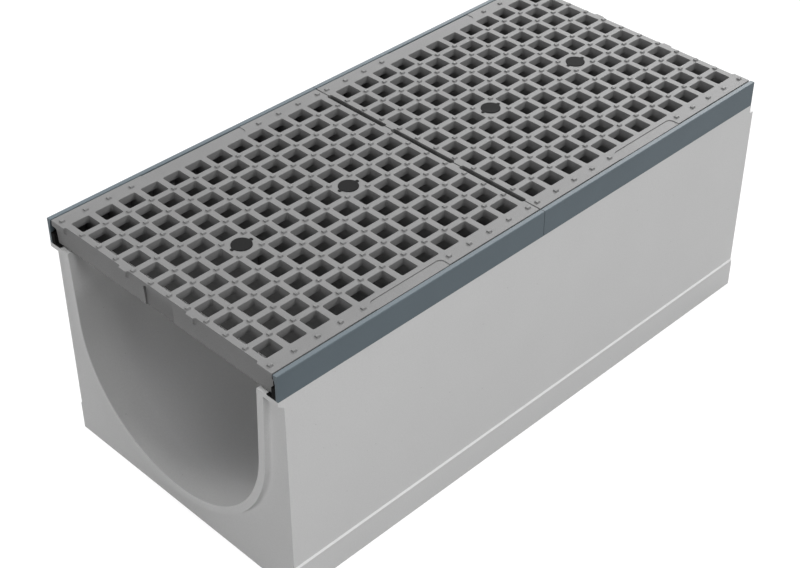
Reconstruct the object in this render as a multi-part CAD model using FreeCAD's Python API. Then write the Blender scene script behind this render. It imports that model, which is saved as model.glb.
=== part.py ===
import FreeCAD, Part
import math
import os

# One module of a heavy-duty drainage channel, in millimetres.
# X is across the channel, Y along its run, Z up. The origin is on the base, at the module's middle.
# A concrete trough carries two edge rails a side, liner strips, and two bolted cast gratings.

V = FreeCAD.Vector

# Overall sizes
MODULE_LENGTH = 1000.0       # run of one module, over the rails
CHANNEL_WIDTH = 480.0        # over the rails
CHANNEL_HEIGHT = 400.0       # base to top of gratings and rails
SIDES = {"left": -1, "right": 1}
HALVES = {"front": -1, "rear": 1}

# Concrete trough
WALL_TOP = 40.7              # wall at the seat, rail included
BORE_DRAFT = 4.8             # how much each inner wall leans in, from the seat to the round bottom
FLOOR = 50.5                 # concrete under the lowest line of the bore
WALL_LEAN = 0.8              # how much each outer wall stands out at its foot
PLINTH_HEIGHT = 49.5
PLINTH_STEP = 2.2            # how far the plinth stands out from the wall above it
PLINTH_SLOPE = 2.6           # height of the sloped ledge on the plinth
TONGUE_LENGTH = 10.0         # rim that stands out at the near end
TONGUE_WALL = 12.2           # thickness of that rim round the bore
BAND_HEIGHT = 14.0           # band along the top of the near end, where it meets the wall
BAND_FACE = 6.8              # height of its front; its underside slopes from there to the wall
LIP_LENGTH = 8.0             # lip that stands out at the far end
JOINT_CLEARANCE = 1.0        # between a tongue and the next module's lip

# Edge rails
RAIL_HEIGHT = 42.0
RAIL_TOP_WIDTH = 8.0
RAIL_FOOT_WIDTH = 4.4
RAIL_HEAD = 15.0             # the inner face slopes from the top width to the foot's in this depth
RAIL_BEVEL = 0.8
RAIL_GAP = 0.8               # between the ends of two rails
ANCHOR_COUNT = 3             # anchors cast on each rail
ANCHOR_WIDTH = 30.0
ANCHOR_THICKNESS = 3.6
ANCHOR_DEPTH = 56.0
ANCHOR_INSET = 11.0          # how far an anchor leans in from the rail
ANCHOR_FOOT = 12.0           # height of its thick foot
ANCHOR_FOOT_STEP = 4.0       # how much thicker the foot is

# Liner strips
LINER_FLOOR = 2.6            # under the grating
LINER_SEAT_WIDTH = 18.0      # from the rail's foot inwards
LINER_WALL = 8.0             # beside the grating, from the rail's foot inwards
LINER_HEIGHT = 19.0

# Gratings
RAIL_TO_GRATING = 1.6        # gap at the top
GRATING_GAP = 1.0            # between the ends of two gratings
LINER_TO_GRATING = 0.6
HOLE_WIDTH = 27.5            # across the channel
HOLE_LENGTH = 29.6           # along the channel
RIB_ALONG = 10.43            # rib between two holes side by side
RIB_ACROSS = 10.4            # rib between two holes in a row along the channel
PLATE_DEPTH = 13.0           # depth of the ribs along the channel
RIB_FOOT = 7.4               # the ribs across taper to this at the bottom
RIB_TO_SEAT = 2.0            # from the bottom of the ribs to the concrete
SIDE_MARGIN = 26.0           # least width of a grating's side margins
SIDE_BEAM = 10.0             # thickness of the beam under a side margin
END_MARGIN = 8.0             # least width of a grating's end ribs
END_RECESS = 4.0             # depth of the drain slots at the ends
PAD_SLOPE = 4.0              # how much a stop pad's underside slopes
MID_PAD_WIDTH = 15.0
MID_PAD_SPACING = 141.0      # between the two middle stop pads
CORNER_PAD_WIDTH = 28.5
END_NOTCH_WIDTH = 60.0       # lifting notch in the end rib
END_NOTCH_DEPTH = 3.6
END_NOTCH_TOP = 6.0          # below the grating's top
PANEL_DEPTH = 1.0            # shallow bare panels in the side margins
PANEL_WIDTH = 18.0
PANEL_LENGTHS = {"left": 187.0, "right": 136.0}

# Locks: cap, bolt, washer, cross bar and nut
LOCK_ROW = 3                 # hole row of a lock, counted from each end of a grating
BOLT_DIAMETER = 12.0
BOLT_HEAD_FLATS = 18.0
BOLT_HEAD_HEIGHT = 7.5
BOLT_END = 5.0               # bolt below the nut
BOLT_PLAY = 0.75             # round the bolt, in the holes it passes
THREAD_PLAY = 0.1            # round the bolt, in the nut
COUNTERBORE_DIAMETER = 27.0
COUNTERBORE_DEPTH = 20.0
WASHER_DIAMETER = 24.0
WASHER_THICKNESS = 2.5
BAR_WIDTH = 40.0
BAR_THICKNESS = 16.0
BAR_DROP = 26.0              # from the bottom of the ribs to the bar
BAR_HOLD = 14.0              # length of each bar end under the concrete
BAR_END_PLAY = 2.0
POCKET_SIDE_PLAY = 15.0
POCKET_DROP = 12.0           # room under the bar, to lower and turn it
NUT_FLATS = 19.0
NUT_HEIGHT = 10.0
CAP_DIAMETER = 30.4
CAP_PROUD = 1.2              # flange above the grating
CAP_EAR_SPAN = 39.0          # tip to tip
CAP_EAR_WIDTH = 5.0
CAP_PLUG_PLAY = 0.3
CAP_PLUG_LENGTH = 4.6
CAP_FIN = 2.0                # thickness of the plug's crossed fins

# Heights and half widths that follow from the sizes above
SEAT_Z = CHANNEL_HEIGHT - RAIL_HEIGHT
HALF_WIDTH = CHANNEL_WIDTH / 2
BORE_HALF_TOP = HALF_WIDTH - WALL_TOP
BORE_RADIUS = BORE_HALF_TOP - BORE_DRAFT
SPRING_Z = FLOOR + BORE_RADIUS
PLINTH_HALF = HALF_WIDTH + WALL_LEAN + PLINTH_STEP
NEAR_Y = -MODULE_LENGTH / 2
FAR_Y = MODULE_LENGTH / 2
BAND_Z = SEAT_Z - BAND_HEIGHT
RAIL_FOOT_X = HALF_WIDTH - RAIL_FOOT_WIDTH
RAIL_TOP_X = HALF_WIDTH - RAIL_TOP_WIDTH
LINER_WALL_X = RAIL_FOOT_X - LINER_WALL
GRATING_HALF_WIDTH = RAIL_TOP_X - RAIL_TO_GRATING
GRATING_LENGTH = MODULE_LENGTH / len(HALVES) - GRATING_GAP
GRATING_BEAM_X = LINER_WALL_X - LINER_TO_GRATING
GRATING_SEAT_Z = SEAT_Z + LINER_FLOOR
PLATE_Z = CHANNEL_HEIGHT - PLATE_DEPTH
RIB_Z = SEAT_Z + RIB_TO_SEAT
END_RIB_Y = GRATING_LENGTH / 2 - END_RECESS
RIB_DRAFT = (RIB_ACROSS - RIB_FOOT) / 2

# Hole grid of a grating, about its centre
PITCH_X = HOLE_WIDTH + RIB_ALONG
PITCH_Y = HOLE_LENGTH + RIB_ACROSS
COLUMNS = int((2 * (GRATING_HALF_WIDTH - SIDE_MARGIN) + RIB_ALONG) / PITCH_X)
ROWS = int((2 * (END_RIB_Y - END_MARGIN) + RIB_ACROSS) / PITCH_Y)
COLUMN_X = [(i - (COLUMNS - 1) / 2) * PITCH_X for i in range(COLUMNS)]
ROW_Y = [(j - (ROWS - 1) / 2) * PITCH_Y for j in range(ROWS)]
GRID_HALF_X = COLUMN_X[-1] + HOLE_WIDTH / 2
GRID_HALF_Y = ROW_Y[-1] + HOLE_LENGTH / 2

# Lock places and heights
LOCK_COLUMN = COLUMNS // 2
LOCK_ROWS = (LOCK_ROW, ROWS - 1 - LOCK_ROW)
LOCK_X = COLUMN_X[LOCK_COLUMN]
GRATING_Y = {half: sign * MODULE_LENGTH / 4 for half, sign in HALVES.items()}
LOCK_Y = [GRATING_Y[half] + ROW_Y[row] for half in HALVES for row in LOCK_ROWS]
WASHER_Z = CHANNEL_HEIGHT - COUNTERBORE_DEPTH
HEAD_Z = WASHER_Z + WASHER_THICKNESS
BAR_TOP_Z = RIB_Z - BAR_DROP
BAR_Z = BAR_TOP_Z - BAR_THICKNESS
NUT_Z = BAR_Z - NUT_HEIGHT


def face_of(points):
    """Flat face inside a closed outline of straight edges."""
    return Part.Face(Part.makePolygon(points + points[:1]))


def bar_along_y(outline, y_from, y_to):
    """Outline of (x, z) corners carried along Y."""
    face = face_of([V(x, y_from, z) for x, z in outline])
    return face.extrude(V(0, y_to - y_from, 0))


def bar_along_x(outline, x_from, x_to):
    """Outline of (y, z) corners carried along X."""
    face = face_of([V(x_from, y, z) for y, z in outline])
    return face.extrude(V(x_to - x_from, 0, 0))


def block(x_from, x_to, y_from, y_to, z_from, z_to):
    """Rectangular block between two corners."""
    corner = V(min(x_from, x_to), min(y_from, y_to), z_from)
    return Part.makeBox(abs(x_to - x_from), abs(y_to - y_from), z_to - z_from, corner)


def disc(diameter, x, y, z_from, z_to):
    """Upright cylinder."""
    return Part.makeCylinder(diameter / 2, z_to - z_from, V(x, y, z_from))


def hexagon(flats, x, y, z_from, z_to):
    """Upright hexagonal prism."""
    radius = flats / math.sqrt(3)
    angles = [math.radians(60 * k) for k in range(6)]
    corners = [V(x + radius * math.cos(a), y + radius * math.sin(a), z_from) for a in angles]
    return face_of(corners).extrude(V(0, 0, z_to - z_from))


def sided(outline, sign):
    """Outline of (x, z) corners drawn for the right side, put on the side that sign gives."""
    return [(sign * x, z) for x, z in outline]


def bore_half(z):
    """Half width of the bore in its leaning upper walls."""
    return BORE_RADIUS + BORE_DRAFT * (z - SPRING_Z) / (SEAT_Z - SPRING_Z)


def u_bar(grow, z_top, y_from, y_to):
    """Solid of the bore's section, grown all round, with its top at z_top."""
    radius = BORE_RADIUS + grow
    half_top = bore_half(z_top) + grow
    left = V(-radius, y_from, SPRING_Z)
    right = V(radius, y_from, SPRING_Z)
    top_left = V(-half_top, y_from, z_top)
    top_right = V(half_top, y_from, z_top)
    bottom = V(0, y_from, SPRING_Z - radius)
    edges = [
        Part.LineSegment(top_left, left).toShape(),
        Part.Arc(left, bottom, right).toShape(),
        Part.LineSegment(right, top_right).toShape(),
        Part.LineSegment(top_right, top_left).toShape(),
    ]
    return Part.Face(Part.Wire(edges)).extrude(V(0, y_to - y_from, 0))


def trough_outline():
    """Outside of the trough's section: leaning walls on a plinth with a sloped ledge."""
    right = [
        (PLINTH_HALF, 0),
        (PLINTH_HALF, PLINTH_HEIGHT),
        (PLINTH_HALF - PLINTH_STEP, PLINTH_HEIGHT + PLINTH_SLOPE),
        (HALF_WIDTH, SEAT_Z),
    ]
    left = [(-x, z) for x, z in reversed(right)]
    return right + left


def anchor_outline():
    """Section of a cast anchor on the right: a leaning strap with a thick foot."""
    outer = HALF_WIDTH - (RAIL_FOOT_WIDTH - ANCHOR_THICKNESS) / 2
    inner = outer - ANCHOR_THICKNESS
    foot_top = SEAT_Z - ANCHOR_DEPTH + ANCHOR_FOOT
    return [
        (outer, SEAT_Z),
        (outer - ANCHOR_INSET, foot_top),
        (outer - ANCHOR_INSET, SEAT_Z - ANCHOR_DEPTH),
        (inner - ANCHOR_INSET - ANCHOR_FOOT_STEP, SEAT_Z - ANCHOR_DEPTH),
        (inner - ANCHOR_INSET - ANCHOR_FOOT_STEP, foot_top),
        (inner, SEAT_Z),
    ]


def rail_span(half):
    """Ends of a rail or liner along Y."""
    far = HALVES[half] * (MODULE_LENGTH / 2 - RAIL_GAP / 2)
    near = HALVES[half] * RAIL_GAP / 2
    return min(near, far), max(near, far)


def anchors(side, half):
    """The anchors of one rail, evenly spaced."""
    y_from, y_to = rail_span(half)
    step = (y_to - y_from) / ANCHOR_COUNT
    solids = []
    for k in range(ANCHOR_COUNT):
        middle = y_from + (k + 0.5) * step
        outline = sided(anchor_outline(), SIDES[side])
        solids.append(bar_along_y(outline, middle - ANCHOR_WIDTH / 2, middle + ANCHOR_WIDTH / 2))
    return solids


def channel_body():
    """Concrete trough with its bore, tongue, lip, bar pockets and the room its anchors take."""
    outline = trough_outline()
    shoulder_y = NEAR_Y + TONGUE_LENGTH
    main = bar_along_y(outline, shoulder_y, FAR_Y)
    band_outline = [
        (shoulder_y, BAND_Z),
        (shoulder_y, SEAT_Z),
        (NEAR_Y, SEAT_Z),
        (NEAR_Y, SEAT_Z - BAND_FACE),
    ]
    band = bar_along_x(band_outline, -HALF_WIDTH, HALF_WIDTH)
    tongue = u_bar(TONGUE_WALL, SEAT_Z, NEAR_Y, shoulder_y)
    socket_grow = TONGUE_WALL + JOINT_CLEARANCE
    lip_top = BAND_Z - JOINT_CLEARANCE
    lip = bar_along_y(outline, FAR_Y, FAR_Y + LIP_LENGTH)
    lip = lip.cut(u_bar(socket_grow, lip_top, FAR_Y, FAR_Y + LIP_LENGTH))
    lip = lip.cut(block(-PLINTH_HALF, PLINTH_HALF, FAR_Y, FAR_Y + LIP_LENGTH, lip_top, SEAT_Z))
    body = main.multiFuse([band, tongue, lip])
    body = body.cut(u_bar(0, SEAT_Z, NEAR_Y, FAR_Y))
    hollows = [pocket for y in LOCK_Y for pocket in bar_pockets(y)]
    for side in SIDES:
        for half in HALVES:
            hollows += anchors(side, half)
    return body.cut(Part.makeCompound(hollows)).removeSplitter()


def bar_reach():
    """Half length of a cross bar."""
    return bore_half(BAR_TOP_Z) + BAR_HOLD


def bar_pockets(y):
    """The two pockets in the walls that take the ends of one cross bar, and the way in to them."""
    reach = bar_reach() + BAR_END_PLAY
    half = BAR_WIDTH / 2 + POCKET_SIDE_PLAY
    return [
        block(sign * BORE_RADIUS, sign * reach, y - half, y + half, BAR_Z - POCKET_DROP, BAR_TOP_Z)
        for sign in SIDES.values()
    ]


def edge_rail(side, half):
    """Edge rail: a flat bar with a head that slopes inwards, bevelled top edges and cast anchors."""
    outline = [
        (HALF_WIDTH, SEAT_Z),
        (HALF_WIDTH, CHANNEL_HEIGHT - RAIL_BEVEL),
        (HALF_WIDTH - RAIL_BEVEL, CHANNEL_HEIGHT),
        (RAIL_TOP_X + RAIL_BEVEL, CHANNEL_HEIGHT),
        (RAIL_TOP_X, CHANNEL_HEIGHT - RAIL_BEVEL),
        (RAIL_FOOT_X, CHANNEL_HEIGHT - RAIL_HEAD),
        (RAIL_FOOT_X, SEAT_Z),
    ]
    rail = bar_along_y(sided(outline, SIDES[side]), *rail_span(half))
    return rail.multiFuse(anchors(side, half)).removeSplitter()


def seat_liner(side, half):
    """Liner strip of L section, against the rail and on the concrete."""
    top_z = SEAT_Z + LINER_HEIGHT
    outline = [
        (RAIL_FOOT_X - LINER_SEAT_WIDTH, SEAT_Z),
        (RAIL_FOOT_X, SEAT_Z),
        (RAIL_FOOT_X, top_z),
        (LINER_WALL_X, top_z),
        (LINER_WALL_X, GRATING_SEAT_Z),
        (RAIL_FOOT_X - LINER_SEAT_WIDTH, GRATING_SEAT_Z),
    ]
    return bar_along_y(sided(outline, SIDES[side]), *rail_span(half))


def hole_outline(x, y):
    """Corners of one mesh hole, in the top plane."""
    half_x = HOLE_WIDTH / 2
    half_y = HOLE_LENGTH / 2
    signs = ((-1, -1), (1, -1), (1, 1), (-1, 1))
    return [V(x + a * half_x, y + b * half_y, CHANNEL_HEIGHT) for a, b in signs]


def mesh_plate():
    """Top plate of a grating, with a hole in each cell but those of the locks."""
    frame_signs = ((-1, -1), (1, -1), (1, 1), (-1, 1))
    frame = [V(a * GRATING_HALF_WIDTH, b * END_RIB_Y, CHANNEL_HEIGHT) for a, b in frame_signs]
    wires = [Part.makePolygon(frame + frame[:1])]
    for column, x in enumerate(COLUMN_X):
        for row, y in enumerate(ROW_Y):
            if column == LOCK_COLUMN and row in LOCK_ROWS:
                continue
            corners = hole_outline(x, y)
            wires.append(Part.makePolygon(corners + corners[:1]))
    return Part.makeFace(wires, "Part::FaceMakerBullseye").extrude(V(0, 0, -PLATE_DEPTH))


def cross_ribs():
    """Deep tapered ribs between the hole rows and at both ends."""
    reach = GRATING_BEAM_X - LINER_SEAT_WIDTH + LINER_WALL
    ribs = []
    for row in range(ROWS - 1):
        y = (ROW_Y[row] + ROW_Y[row + 1]) / 2
        outline = [
            (y - RIB_ACROSS / 2, PLATE_Z),
            (y + RIB_ACROSS / 2, PLATE_Z),
            (y + RIB_FOOT / 2, RIB_Z),
            (y - RIB_FOOT / 2, RIB_Z),
        ]
        ribs.append(bar_along_x(outline, -reach, reach))
    for sign in HALVES.values():
        outline = [
            (sign * GRID_HALF_Y, PLATE_Z),
            (sign * END_RIB_Y, PLATE_Z),
            (sign * (END_RIB_Y - RIB_DRAFT), RIB_Z),
            (sign * (GRID_HALF_Y + RIB_DRAFT), RIB_Z),
        ]
        ribs.append(bar_along_x(outline, -reach, reach))
    return ribs


def side_beams():
    """Beams under both side margins, which sit on the liners, with a sloped flange above and drafted ends."""
    slope = GRATING_HALF_WIDTH - GRATING_BEAM_X
    inner = GRATING_BEAM_X - SIDE_BEAM
    outline = [
        (inner, PLATE_Z),
        (GRATING_HALF_WIDTH, PLATE_Z),
        (GRATING_BEAM_X, PLATE_Z - slope),
        (GRATING_BEAM_X, GRATING_SEAT_Z),
        (inner, GRATING_SEAT_Z),
    ]
    waste = []
    for sign in HALVES.values():
        wedge = [
            (sign * END_RIB_Y, PLATE_Z),
            (sign * END_RIB_Y, RIB_Z),
            (sign * (END_RIB_Y - RIB_DRAFT), RIB_Z),
        ]
        waste.append(bar_along_x(wedge, -GRATING_HALF_WIDTH, GRATING_HALF_WIDTH))
    ends = Part.makeCompound(waste)
    return [bar_along_y(sided(outline, sign), -END_RIB_Y, END_RIB_Y).cut(ends) for sign in SIDES.values()]


def end_pads():
    """Stop pads at both ends, which leave drain slots between two gratings."""
    pads = []
    middle = MID_PAD_SPACING / 2
    spans = [(middle - MID_PAD_WIDTH / 2, middle + MID_PAD_WIDTH / 2)]
    spans.append((GRATING_HALF_WIDTH - CORNER_PAD_WIDTH, GRATING_HALF_WIDTH))
    for end in HALVES.values():
        outline = [
            (end * END_RIB_Y, CHANNEL_HEIGHT),
            (end * (END_RIB_Y + END_RECESS), CHANNEL_HEIGHT),
            (end * (END_RIB_Y + END_RECESS), PLATE_Z + PAD_SLOPE),
            (end * END_RIB_Y, PLATE_Z),
        ]
        for x_from, x_to in spans:
            for sign in SIDES.values():
                pads.append(bar_along_x(outline, sign * x_from, sign * x_to))
    return pads


def lock_bosses():
    """Solid bosses between two ribs, in the lock cells."""
    half_x = HOLE_WIDTH / 2
    half_y = (PITCH_Y - RIB_FOOT) / 2
    return [
        block(LOCK_X - half_x, LOCK_X + half_x, y - half_y, y + half_y, RIB_Z, PLATE_Z)
        for y in (ROW_Y[row] for row in LOCK_ROWS)
    ]


def grating_cuts():
    """What is taken out of a grating: lock holes, end notches and the margins' shallow panels."""
    cuts = []
    for row in LOCK_ROWS:
        cuts.append(disc(COUNTERBORE_DIAMETER, LOCK_X, ROW_Y[row], WASHER_Z, CHANNEL_HEIGHT))
        bolt_way = BOLT_DIAMETER + 2 * BOLT_PLAY
        cuts.append(disc(bolt_way, LOCK_X, ROW_Y[row], RIB_Z, WASHER_Z))
    half_notch = END_NOTCH_WIDTH / 2
    for end in HALVES.values():
        inner = end * (END_RIB_Y - END_NOTCH_DEPTH)
        notch_top = CHANNEL_HEIGHT - END_NOTCH_TOP
        cuts.append(block(-half_notch, half_notch, inner, end * END_RIB_Y, RIB_Z, notch_top))
    for side, sign in SIDES.items():
        half = PANEL_LENGTHS[side] / 2
        outer = sign * GRATING_HALF_WIDTH
        inner = sign * (GRATING_HALF_WIDTH - PANEL_WIDTH)
        cuts.append(block(inner, outer, -half, half, CHANNEL_HEIGHT - PANEL_DEPTH, CHANNEL_HEIGHT))
    return cuts


def grating():
    """Cast mesh grating, about its own centre."""
    plate = mesh_plate()
    whole = plate.multiFuse(cross_ribs() + side_beams() + end_pads() + lock_bosses())
    return whole.cut(Part.makeCompound(grating_cuts())).removeSplitter()


def lock_bar(y):
    """Flat cross bar with a bolt hole, its ends under the roofs of the wall pockets."""
    reach = bar_reach()
    bar = block(-reach, reach, y - BAR_WIDTH / 2, y + BAR_WIDTH / 2, BAR_Z, BAR_TOP_Z)
    return bar.cut(disc(BOLT_DIAMETER + 2 * BOLT_PLAY, LOCK_X, y, BAR_Z, BAR_TOP_Z))


def lock_bolt(y):
    """Hexagon head bolt."""
    head = hexagon(BOLT_HEAD_FLATS, LOCK_X, y, HEAD_Z, HEAD_Z + BOLT_HEAD_HEIGHT)
    shank = disc(BOLT_DIAMETER, LOCK_X, y, NUT_Z - BOLT_END, HEAD_Z)
    return head.fuse(shank)


def lock_washer(y):
    """Washer under a bolt's head."""
    ring = disc(WASHER_DIAMETER, LOCK_X, y, WASHER_Z, HEAD_Z)
    return ring.cut(disc(BOLT_DIAMETER + 2 * BOLT_PLAY, LOCK_X, y, WASHER_Z, HEAD_Z))


def lock_nut(y):
    """Hexagon nut under a cross bar."""
    nut = hexagon(NUT_FLATS, LOCK_X, y, NUT_Z, BAR_Z)
    return nut.cut(disc(BOLT_DIAMETER + 2 * THREAD_PLAY, LOCK_X, y, NUT_Z, BAR_Z))


def lock_cap(y):
    """Push-in cap: a round flange with two ears on the grating, and crossed fins in the hole."""
    top = CHANNEL_HEIGHT + CAP_PROUD
    flange = disc(CAP_DIAMETER, LOCK_X, y, CHANNEL_HEIGHT, top)
    half_ear = CAP_EAR_WIDTH / 2
    half_span = CAP_EAR_SPAN / 2
    ears = block(LOCK_X - half_ear, LOCK_X + half_ear, y - half_span, y + half_span, CHANNEL_HEIGHT, top)
    reach = COUNTERBORE_DIAMETER / 2 - CAP_PLUG_PLAY
    half_fin = CAP_FIN / 2
    plug_z = CHANNEL_HEIGHT - CAP_PLUG_LENGTH
    fins = [
        block(LOCK_X - reach, LOCK_X + reach, y - half_fin, y + half_fin, plug_z, CHANNEL_HEIGHT),
        block(LOCK_X - half_fin, LOCK_X + half_fin, y - reach, y + reach, plug_z, CHANNEL_HEIGHT),
    ]
    return flange.multiFuse([ears] + fins).removeSplitter()


def build():
    """All pieces by node name."""
    nodes = {"channel_body": channel_body()}
    mesh = grating()
    for half in HALVES:
        for side in SIDES:
            nodes[f"edge_rail_{side}_{half}"] = edge_rail(side, half)
            nodes[f"seat_liner_{side}_{half}"] = seat_liner(side, half)
        nodes[f"grating_{half}"] = mesh.translated(V(0, GRATING_Y[half], 0))
    for number, y in enumerate(LOCK_Y, start=1):
        nodes[f"lock_cap_{number}"] = lock_cap(y)
        nodes[f"lock_bar_{number}"] = lock_bar(y)
    nodes["lock_bolts"] = Part.makeCompound([lock_bolt(y) for y in LOCK_Y])
    nodes["lock_washers"] = Part.makeCompound([lock_washer(y) for y in LOCK_Y])
    nodes["lock_nuts"] = Part.makeCompound([lock_nut(y) for y in LOCK_Y])
    return nodes


os.makedirs("parts", exist_ok=True)
for name, shape in build().items():
    shape.exportStep(f"parts/{name}.step")
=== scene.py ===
"""Dresses a drainage channel module: concrete trough, edge rails, liners, cast gratings and locks."""
import logging
import math
from dataclasses import dataclass
from enum import Enum

import bmesh
import bpy
import numpy as np
from mathutils import Euler, Matrix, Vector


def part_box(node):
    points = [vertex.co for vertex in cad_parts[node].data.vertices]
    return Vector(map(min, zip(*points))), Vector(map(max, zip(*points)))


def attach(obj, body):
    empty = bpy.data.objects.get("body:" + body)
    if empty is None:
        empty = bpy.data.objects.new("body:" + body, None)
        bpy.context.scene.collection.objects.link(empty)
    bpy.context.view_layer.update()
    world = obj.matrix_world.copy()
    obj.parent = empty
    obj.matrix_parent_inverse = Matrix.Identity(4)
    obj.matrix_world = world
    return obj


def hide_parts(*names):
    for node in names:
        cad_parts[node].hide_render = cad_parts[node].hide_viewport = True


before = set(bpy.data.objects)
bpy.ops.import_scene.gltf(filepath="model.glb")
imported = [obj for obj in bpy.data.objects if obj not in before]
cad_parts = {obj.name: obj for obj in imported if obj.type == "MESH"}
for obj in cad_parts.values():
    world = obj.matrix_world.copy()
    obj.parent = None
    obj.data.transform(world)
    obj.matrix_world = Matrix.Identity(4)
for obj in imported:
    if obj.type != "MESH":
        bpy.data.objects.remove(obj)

LOG = logging.getLogger("drainage_channel")
BODY = "root"
LOCK_NUMBERS = range(1, 5)
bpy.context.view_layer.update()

Colour = tuple[float, float, float]
Pair = tuple[float, float]
Triple = tuple[float, float, float]
Sizes = float | np.ndarray
Socket = bpy.types.NodeSocket
Feed = Socket | float | tuple[float, ...]

# Ramps of a mask, bands of a noise that are stretched to its full effect, and what all noises share
RISE: Pair = (0.0, 1.0)
FALL: Pair = (1.0, 0.0)
MIDDLE_BAND: Pair = (0.3, 0.7)
WIDE_BAND: Pair = (0.25, 0.75)
NOISE_ROUGHNESS = 0.55

# Weights that keep X and Z, and drop the run along Y
ACROSS_RUN: Triple = (1.0, 0.0, 1.0)

# How copies of CAD nodes are cleaned and their arrises rounded
MERGE_DISTANCE = 1e-6
FLAT_DEGREES = 0.4
ARRIS_DEGREES = 30.0
ARRIS_SEGMENTS = 3
ROUND_PROFILE = 0.5

# Inner corners that get a fillet: folded by more than this many radians, and this near to their plane
ROOT_ANGLE = -1.5
ROOT_REACH = 1e-5
ROOT_SEGMENTS = 6


class Join(Enum):
    """How one closed shell is combined with another."""

    ADD = "UNION"
    TAKE = "DIFFERENCE"


class Slot(Enum):
    """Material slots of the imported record."""

    CONCRETE = "concrete"
    GRATING = "grating_iron"
    RAIL = "rail_metal"
    LINER = "liner_rubber"
    CAP = "cap_plastic"
    STEEL = "lock_steel"


class Side(Enum):
    """Sides of the channel, with the sign of their X."""

    LEFT = -1
    RIGHT = 1


class Half(Enum):
    """Halves of the module along its run, with the sign of their Y."""

    FRONT = -1
    REAR = 1


class NodeGraph:
    """Wires the shader nodes of one tree."""

    def __init__(self, tree: bpy.types.NodeTree, output: str) -> None:
        """Empties a tree and gives it an output.

        Args:
            tree: the node tree of a material or a world.
            output: kind of its output node.
        """
        self.nodes = tree.nodes
        self.links = tree.links
        self.nodes.clear()
        self.output = self.add(output)

    def add(self, kind: str, operation: str | None = None) -> bpy.types.Node:
        """Adds a node.

        Args:
            kind: its type, without the prefix that all shader nodes share.
            operation: what it works out, for a node that has a choice.

        Returns:
            The node.
        """
        node = self.nodes.new(f"ShaderNode{kind}")
        if operation is not None:
            node.operation = operation
        return node

    def feed(self, node: bpy.types.Node, *values: Feed, **named: Feed) -> None:
        """Links sockets to a node's inputs, and sets plain numbers and colours on them.

        Args:
            node: the node.
            values: what its first inputs get, in order.
            named: what other inputs get, with spaces in their names written as underscores.
        """
        entries = list(zip(node.inputs, values))
        entries += [(node.inputs[name.replace("_", " ")], value) for name, value in named.items()]
        for entry, value in entries:
            if isinstance(value, Socket):
                self.links.new(value, entry)
            else:
                entry.default_value = value

    def calculate(self, operation: str, *values: Socket) -> Socket:
        """Works out one number from others.

        Args:
            operation: what is worked out.
            values: the numbers.

        Returns:
            The result.
        """
        node = self.add("Math", operation)
        self.feed(node, *values)
        return node.outputs["Value"]

    def product(self, first: Socket, *others: Socket) -> Socket:
        """Multiplies values.

        Args:
            first: the first value.
            others: the rest of them.

        Returns:
            Their product.
        """
        for other in others:
            first = self.calculate("MULTIPLY", first, other)
        return first

    def remap(self, value: Socket, source: Pair, target: Pair) -> Socket:
        """Straight-line map of a value from one range to another, clamped.

        Args:
            value: the value to map.
            source: its low and high ends.
            target: what those ends become.

        Returns:
            The mapped value.
        """
        node = self.add("MapRange")
        low, high = source
        start, end = target
        self.feed(node, Value=value, From_Min=low, From_Max=high, To_Min=start, To_Max=end)
        return node.outputs["Result"]

    def seen_ray(self) -> Socket:
        """Tells the rays that see the object's surroundings from those that light the object.

        Returns:
            1 for camera, glossy and transmission rays, 0 for others.
        """
        path = self.add("LightPath")
        seen = path.outputs["Is Camera Ray"]
        for name in ("Is Glossy Ray", "Is Transmission Ray"):
            seen = self.calculate("MAXIMUM", seen, path.outputs[name])
        return seen


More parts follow.
